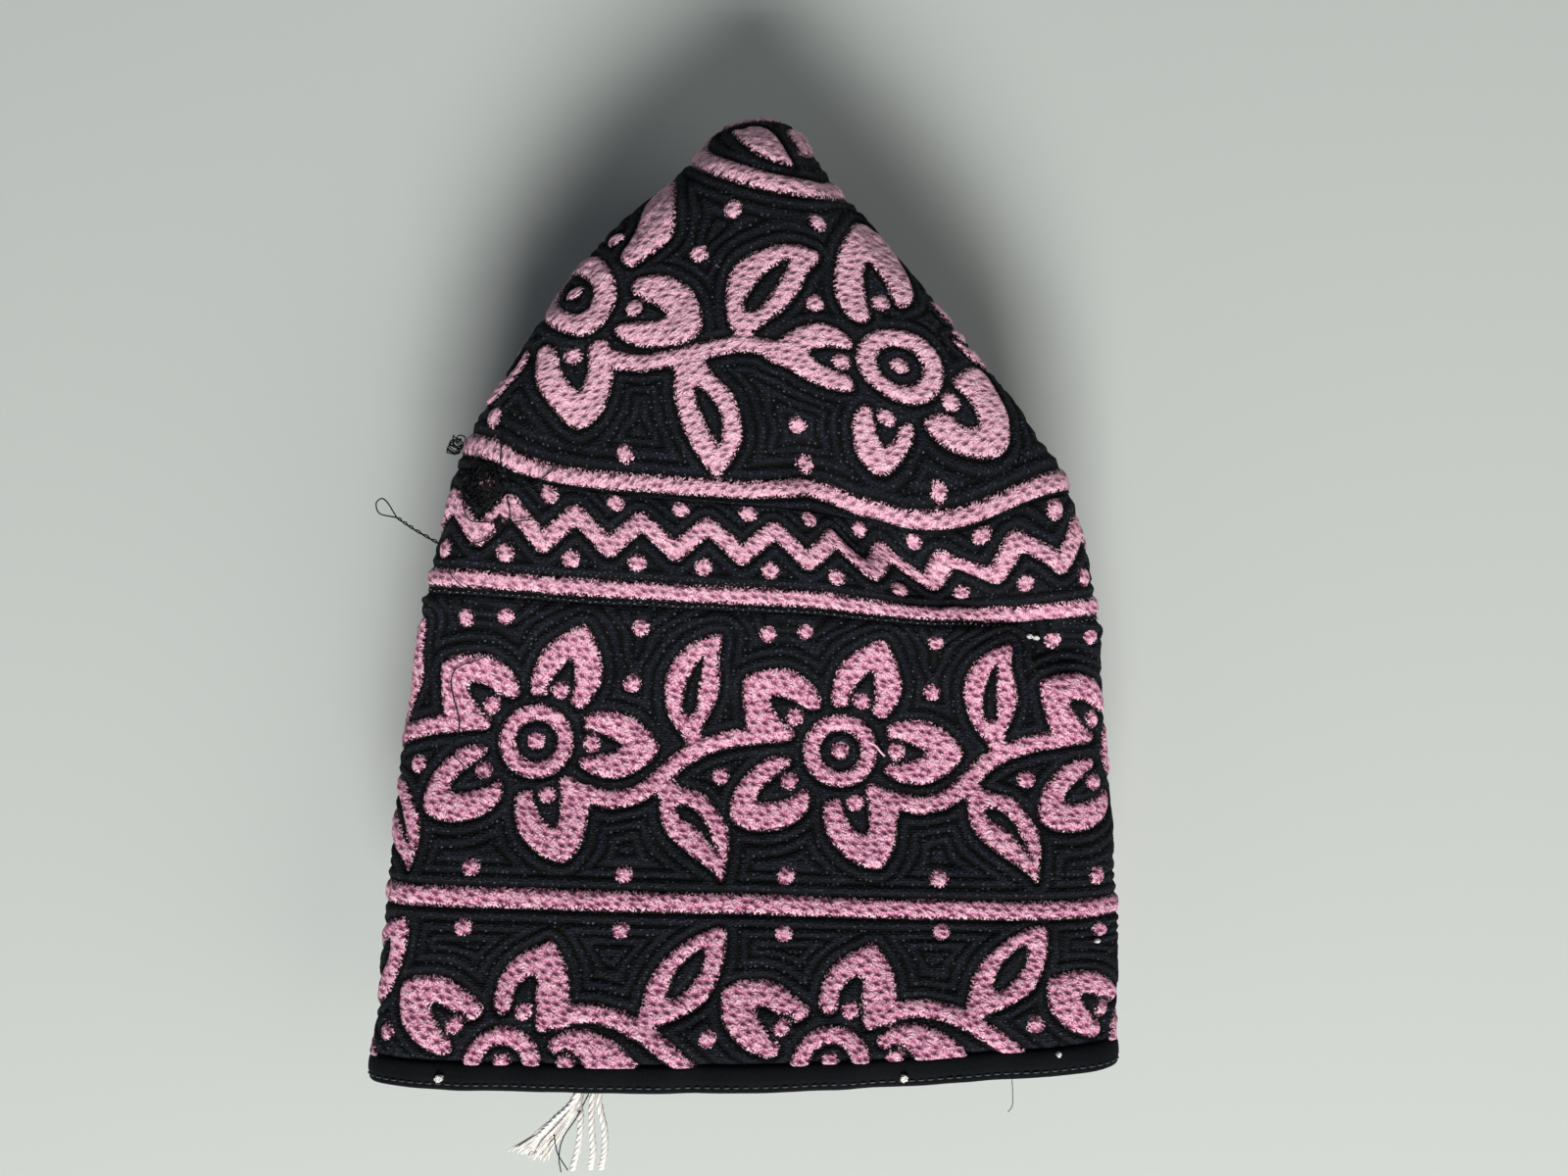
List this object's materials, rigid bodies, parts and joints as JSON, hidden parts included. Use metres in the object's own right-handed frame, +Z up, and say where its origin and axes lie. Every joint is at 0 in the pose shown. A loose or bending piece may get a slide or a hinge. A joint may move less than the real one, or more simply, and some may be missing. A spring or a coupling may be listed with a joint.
{
  "type": "kumma",
  "caption": "Embroidered cloth cap lying on its back, crown pulled to a point, sides tucked in as gussets, open rim with a rolled hem.",
  "frame": {"origin": "middle of the cap's outline, on the table that its back panel lies on", "axes": "+Z up from the table, +Y from the rim towards the tip of the crown, +X to the right seen from above with the tip away"},
  "size_m": [0.1441, 0.1867, 0.0564],
  "materials": {
    "crown_cloth": "black quilted cotton with raised pink machine embroidery",
    "border_cloth": "black quilted cotton with a pink embroidered zigzag and dots",
    "side_cloth": "black quilted cotton with raised pink embroidered flowers",
    "binding_cloth": "black topstitched hem",
    "embroidery": "satin-stitched pink thread",
    "cotton_thread": "loose white cotton thread",
    "black_thread": "loose black sewing thread"
  },
  "bodies": {
    "root": {"crown": "crown_cloth", "border_band": "border_cloth", "side_band": "side_cloth", "rim_binding": "binding_cloth"}
  },
  "joints": []
}
